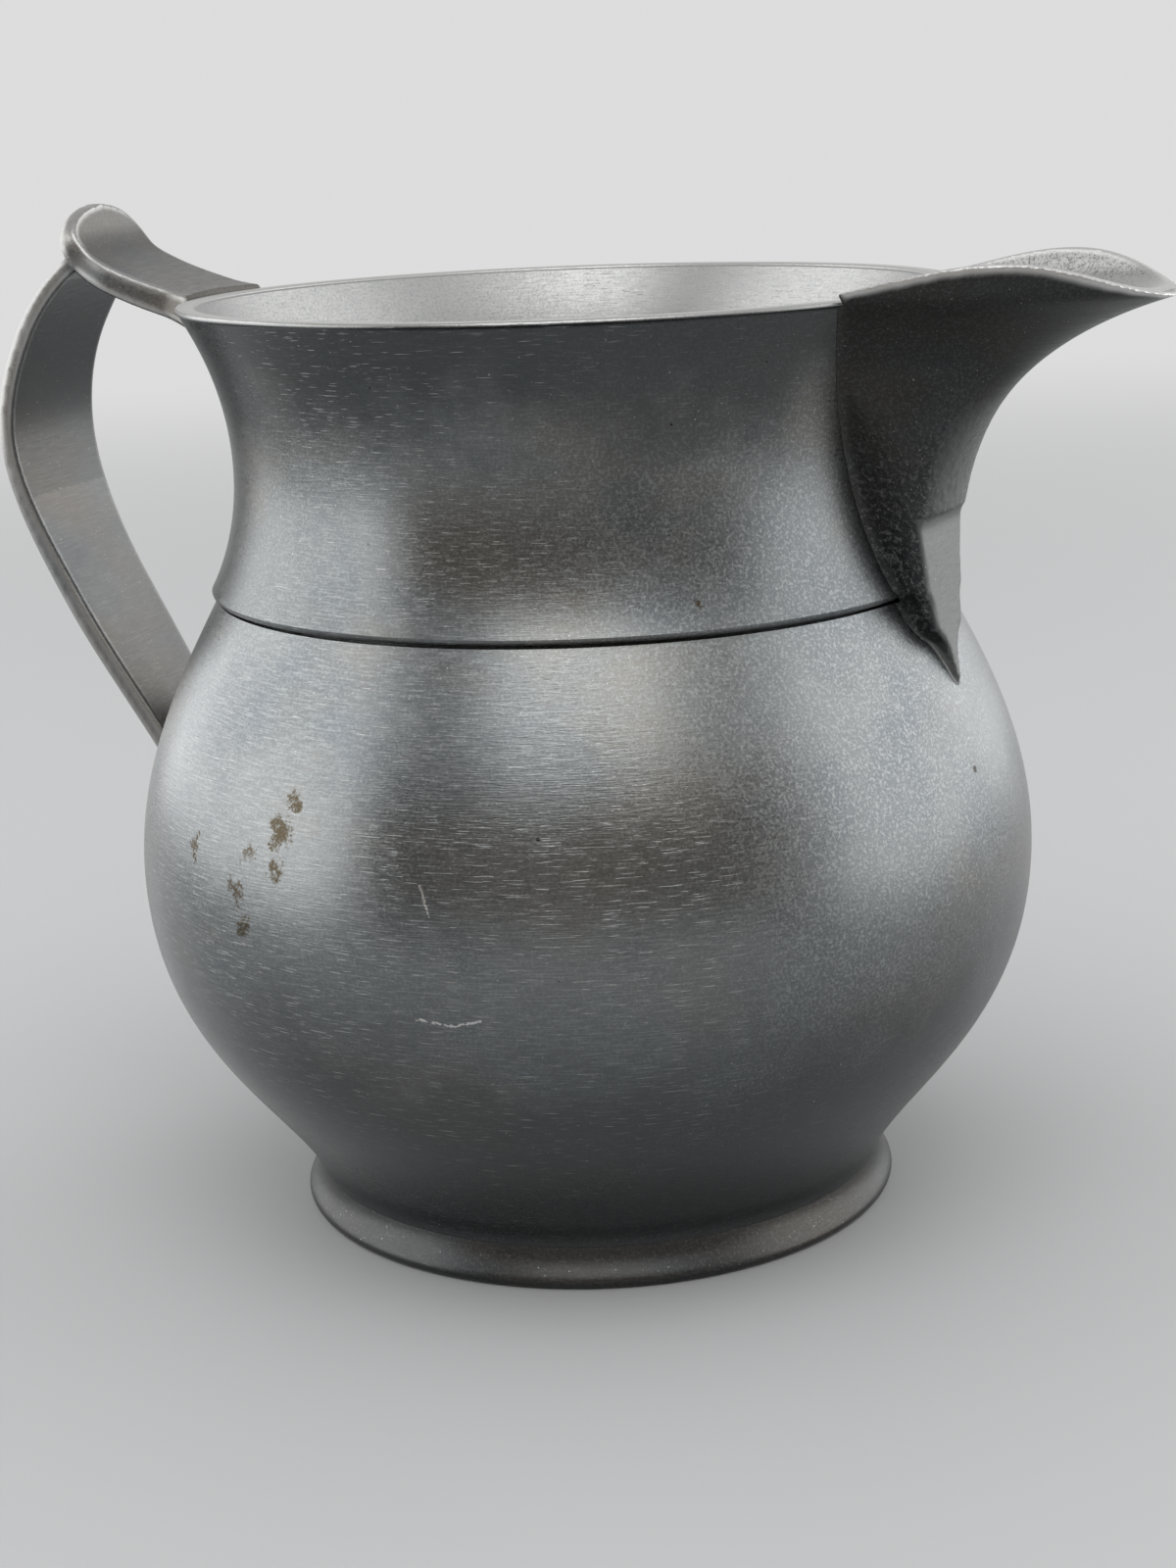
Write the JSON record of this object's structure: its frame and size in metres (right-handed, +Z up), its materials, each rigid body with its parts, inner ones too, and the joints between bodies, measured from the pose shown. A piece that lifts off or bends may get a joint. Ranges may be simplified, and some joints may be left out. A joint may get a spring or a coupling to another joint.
{
  "type": "pewter pitcher",
  "caption": "Squat round-bellied pewter pitcher with a waisted collar, a beaked pouring spout, a strap handle with thumb rest and a low foot ring.",
  "frame": {"origin": "on the body's turning axis, at the level of the table that the foot ring rests on", "axes": "+X out along the spout, +Z up along the body's turning axis, +Y to the left when looking along the spout"},
  "size_m": [0.1996, 0.149, 0.1674],
  "materials": {
    "pewter_bowl": "worn satin pewter with fine turning lines, pits and small brown stains",
    "pewter_foot": "satin pewter, rubbed bright on the lip",
    "pewter_collar": "satin pewter with fine turning lines, granular near the spout",
    "pewter_spout": "as-cast pewter, rough at the root, with a filed keel and a rubbed edge",
    "pewter_handle": "smooth satin pewter with rubbed edges"
  },
  "bodies": {
    "root": {"bowl": "pewter_bowl", "foot_ring": "pewter_foot", "neck_collar": "pewter_collar", "spout": "pewter_spout", "handle": "pewter_handle"}
  },
  "joints": []
}
